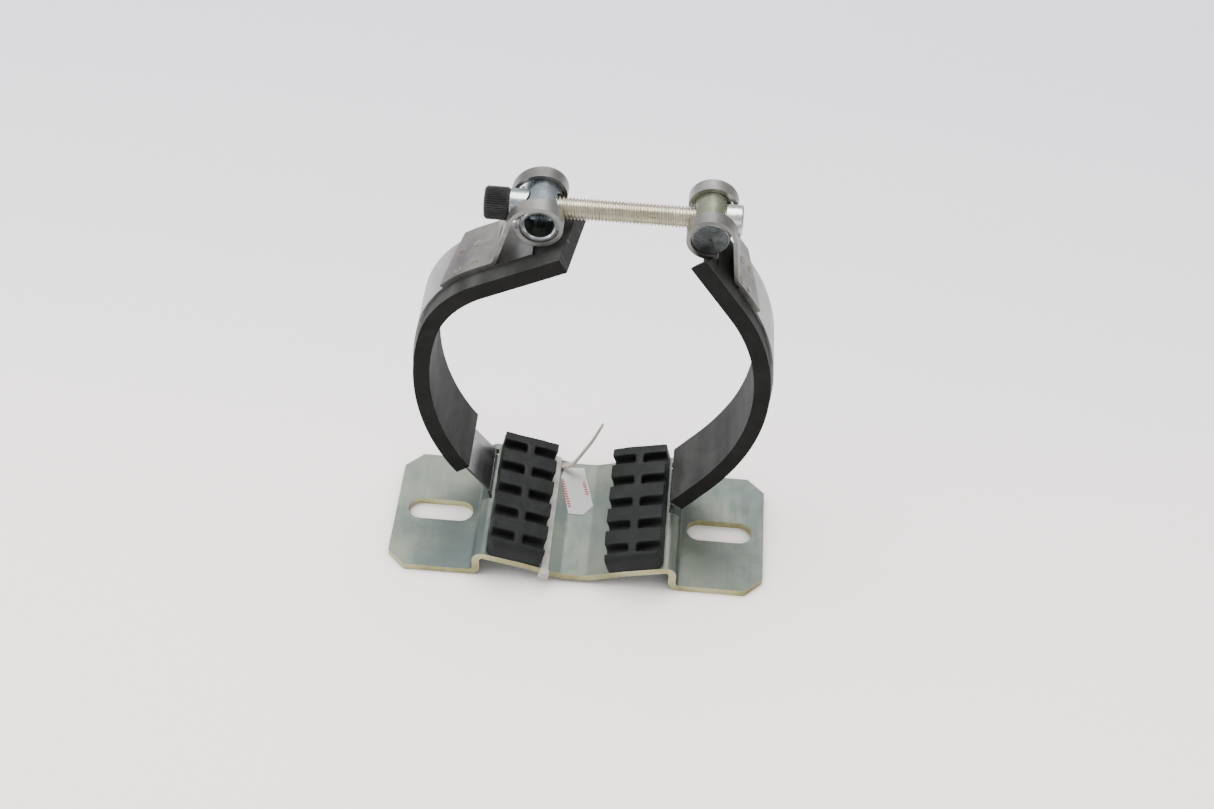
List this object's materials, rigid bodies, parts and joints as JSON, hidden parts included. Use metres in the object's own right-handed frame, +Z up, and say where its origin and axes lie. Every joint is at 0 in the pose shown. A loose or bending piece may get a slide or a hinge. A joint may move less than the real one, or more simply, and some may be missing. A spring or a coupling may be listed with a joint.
{
  "type": "saddle band clamp",
  "caption": "Foot-mounted saddle clamp: steel band arms with rubber linings, ribbed pads and a cross-bar screw that draws the arms round a pipe or cylinder.",
  "frame": {"origin": "centre of the foot bracket's underside, on the floor, between the slotted holes", "axes": "+X from the left foot to the right foot, +Y to the rear along the clamped pipe, +Z up"},
  "size_m": [0.15, 0.0652, 0.1612],
  "materials": {
    "plated_steel": "satin zinc plating with pale passivation",
    "band_steel": "satin stainless",
    "strap_steel": "satin stainless",
    "weld_steel": "heat tinted",
    "pad_rubber": "matte",
    "lining_rubber": "matte, dusty",
    "zinc_bar": "turned, clear zinc plated",
    "boss_steel": "bright zinc plated",
    "screw_zinc": "yellowish zinc plated",
    "black_oxide": "black oxide, knurled",
    "tie_plastic": "natural nylon",
    "label_paper": "matte paper"
  },
  "bodies": {
    "base": {"base_plate": "plated_steel", "left_saddle_pad": "pad_rubber", "right_saddle_pad": "pad_rubber", "under_band": "band_steel", "cable_tie_loop": "tie_plastic", "cable_tie_head": "tie_plastic", "cable_tie_tail": "tie_plastic", "paper_label": "label_paper"},
    "left_arm": {"left_band": "band_steel", "left_loop_strap": "strap_steel", "left_spot_welds": "weld_steel", "left_rubber_lining": "lining_rubber"},
    "right_arm": {"right_band": "band_steel", "right_loop_strap": "strap_steel", "right_spot_welds": "weld_steel", "right_rubber_lining": "lining_rubber"},
    "left_bar": {"left_cross_bar": "zinc_bar"},
    "right_bar": {"right_cross_bar": "zinc_bar", "right_bar_boss": "boss_steel"},
    "collar": {"spacer_collar": "zinc_bar"},
    "screw": {"clamp_screw": "screw_zinc", "screw_head": "black_oxide"}
  },
  "joints": [
    {"name": "right_arm_close", "type": "hinge", "parent": "base", "child": "right_arm", "pos_m": [0.0377, 0.016, 0.01305], "axis": [0, -1, 0], "range_deg": [0, 11]},
    {"name": "left_arm_close", "type": "hinge", "parent": "base", "child": "left_arm", "pos_m": [-0.0377, 0.016, 0.01305], "axis": [0, 1, 0], "range_deg": [0, 5]},
    {"name": "left_bar_turn", "type": "hinge", "parent": "left_arm", "child": "left_bar", "pos_m": [-0.0187, 0.016, 0.1526], "axis": [0, -1, 0], "range_deg": [0, 6.03]},
    {"name": "right_bar_turn", "type": "hinge", "parent": "right_arm", "child": "right_bar", "pos_m": [0.0417, 0.016, 0.1526], "axis": [0, -1, 0], "range_deg": [-9.98, 0]},
    {"name": "screw_feed", "type": "slide", "parent": "right_bar", "child": "collar", "axis": [1, 0, 0], "range_m": [0, 0.03869]},
    {"name": "screw_spin", "type": "hinge", "parent": "collar", "child": "screw", "pos_m": [-0.03, 0.016, 0.1526], "axis": [1, 0, 0], "range_deg": [0, 11142.72]}
  ],
  "couplings": [
    {"joint": "left_arm_close", "follows": "right_arm_close", "ratio": 0.45454},
    {"joint": "left_bar_turn", "follows": "right_arm_close", "ratio": 0.54765},
    {"joint": "right_bar_turn", "follows": "right_arm_close", "ratio": -0.90689},
    {"joint": "screw_feed", "follows": "right_arm_close", "m_per_rad": 0.20153},
    {"joint": "screw_spin", "follows": "right_arm_close", "ratio": 1013}
  ]
}
